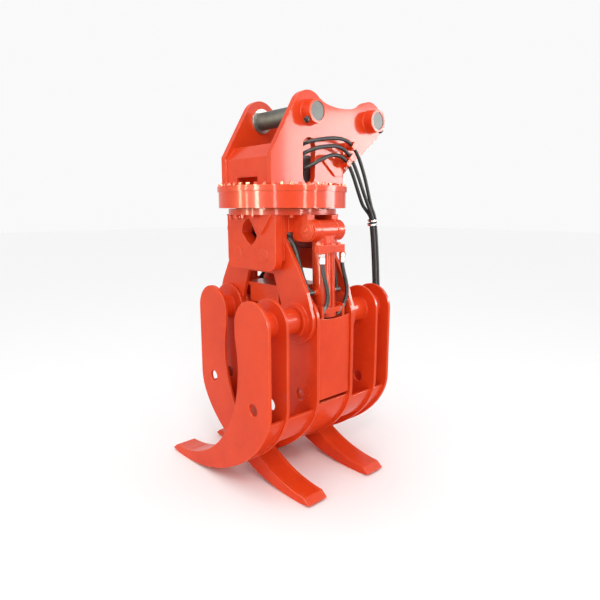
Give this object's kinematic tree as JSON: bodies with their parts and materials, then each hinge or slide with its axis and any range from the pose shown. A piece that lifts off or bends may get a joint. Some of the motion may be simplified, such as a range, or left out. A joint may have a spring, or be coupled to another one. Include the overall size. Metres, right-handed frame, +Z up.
{
  "type": "rotating rock grapple",
  "caption": "Pin-on rotating rock grapple for an excavator: slewing head, A-shaped hanger and interlacing box-tine jaws closed by hydraulic cylinders.",
  "frame": {"origin": "middle of the front head pin, on the slewing axis", "axes": "+Z up along the slewing axis, X along the head pins with +X on the three-tine jaw's side, Y along the jaw pivots with +Y towards the rear head pin"},
  "size_m": [0.89, 0.888, 1.756],
  "materials": {
    "paint": "gloss",
    "painted_bolts": "gloss",
    "painted_pins": "gloss",
    "pin_steel": "oiled",
    "race_steel": "turned",
    "ball_steel": "polished",
    "cast_housing": "satin",
    "dark_bolts": "black oxide",
    "hose_rubber": "satin",
    "plated_fittings": "zinc plated",
    "bronze": "turned",
    "rod_chrome": "polished"
  },
  "bodies": {
    "head": {"side_plate_right": "paint", "side_plate_left": "paint", "front_cross_plate": "paint", "rear_cross_plate": "paint", "ring_housing": "paint", "housing_bolts": "painted_bolts", "front_pin": "pin_steel", "rear_pin": "pin_steel", "pin_shims": "pin_steel", "pin_lock_bolts": "dark_bolts", "outer_race": "race_steel", "slew_motor": "cast_housing", "swivel_housing": "cast_housing", "hose_clamps": "paint", "supply_hose_upper": "hose_rubber", "supply_hose_middle": "hose_rubber", "supply_hose_lower": "hose_rubber", "supply_hose_fittings": "plated_fittings"},
    "pinion": {"drive_pinion": "race_steel"},
    "hanger": {"gear_ring": "race_steel", "bearing_balls": "ball_steel", "frame_top_plate": "paint", "front_frame_plate": "paint", "rear_frame_plate": "paint", "front_hanger_plate": "paint", "rear_hanger_plate": "paint", "frame_walls": "paint", "frame_bolts": "painted_bolts", "cylinder_ears": "paint", "head_pins": "painted_pins", "pivot_bushes": "bronze", "swivel_shaft": "race_steel", "right_feed_hoses": "hose_rubber", "left_feed_hoses": "hose_rubber"},
    "right_jaw": {"right_front_tine": "paint", "right_middle_tine": "paint", "right_rear_tine": "paint", "right_cross_beam": "paint", "right_pivot_tubes": "paint", "right_pivot_pins": "race_steel", "right_rod_pin": "painted_pins"},
    "left_jaw": {"left_front_tine": "paint", "left_rear_tine": "paint", "left_inner_plates": "paint", "left_cross_beam": "paint", "left_pivot_tubes": "paint", "left_pivot_pins": "race_steel", "left_rod_pin": "painted_pins"},
    "right_cylinder": {"right_barrel": "paint", "right_gland": "race_steel", "right_rod_guard": "paint", "right_port_block": "paint", "right_hoses": "hose_rubber"},
    "left_cylinder": {"left_barrel": "paint", "left_gland": "race_steel", "left_rod_guard": "paint", "left_port_block": "paint", "left_hoses": "hose_rubber"},
    "right_piston": {"right_rod": "rod_chrome"},
    "left_piston": {"left_rod": "rod_chrome"}
  },
  "joints": [
    {"name": "slew", "type": "hinge", "parent": "head", "child": "hanger", "pos_m": [0, 0, -0.3], "axis": [0, 0, 1], "continuous": true},
    {"name": "pinion_spin", "type": "hinge", "parent": "head", "child": "pinion", "pos_m": [0, 0.144, -0.38], "axis": [0, 0, 1], "continuous": true},
    {"name": "right_jaw_swing", "type": "hinge", "parent": "hanger", "child": "right_jaw", "pos_m": [0.243, 0, -0.888], "axis": [0, -1, 0], "range_deg": [0, 60]},
    {"name": "left_jaw_swing", "type": "hinge", "parent": "hanger", "child": "left_jaw", "pos_m": [-0.243, 0, -0.888], "axis": [0, 1, 0], "range_deg": [0, 60]},
    {"name": "right_cylinder_swing", "type": "hinge", "parent": "hanger", "child": "right_cylinder", "pos_m": [0.27, 0, -0.502], "axis": [0, -1, 0], "range_deg": [0, 26.7]},
    {"name": "left_cylinder_swing", "type": "hinge", "parent": "hanger", "child": "left_cylinder", "pos_m": [-0.27, 0, -0.502], "axis": [0, 1, 0], "range_deg": [0, 26.7]},
    {"name": "right_rod_swing", "type": "hinge", "parent": "right_jaw", "child": "right_piston", "pos_m": [0.29, 0, -1.205], "axis": [0, -1, 0], "range_deg": [-33.5, 0]},
    {"name": "left_rod_swing", "type": "hinge", "parent": "left_jaw", "child": "left_piston", "pos_m": [-0.29, 0, -1.205], "axis": [0, 1, 0], "range_deg": [-33.5, 0]}
  ],
  "couplings": [
    {"joint": "pinion_spin", "follows": "slew", "ratio": 4.4286},
    {"joint": "left_jaw_swing", "follows": "right_jaw_swing", "ratio": 1},
    {"joint": "right_cylinder_swing", "follows": "right_jaw_swing", "ratio": 0.444},
    {"joint": "left_cylinder_swing", "follows": "right_jaw_swing", "ratio": 0.444},
    {"joint": "right_rod_swing", "follows": "right_jaw_swing", "ratio": -0.556},
    {"joint": "left_rod_swing", "follows": "right_jaw_swing", "ratio": -0.556}
  ]
}
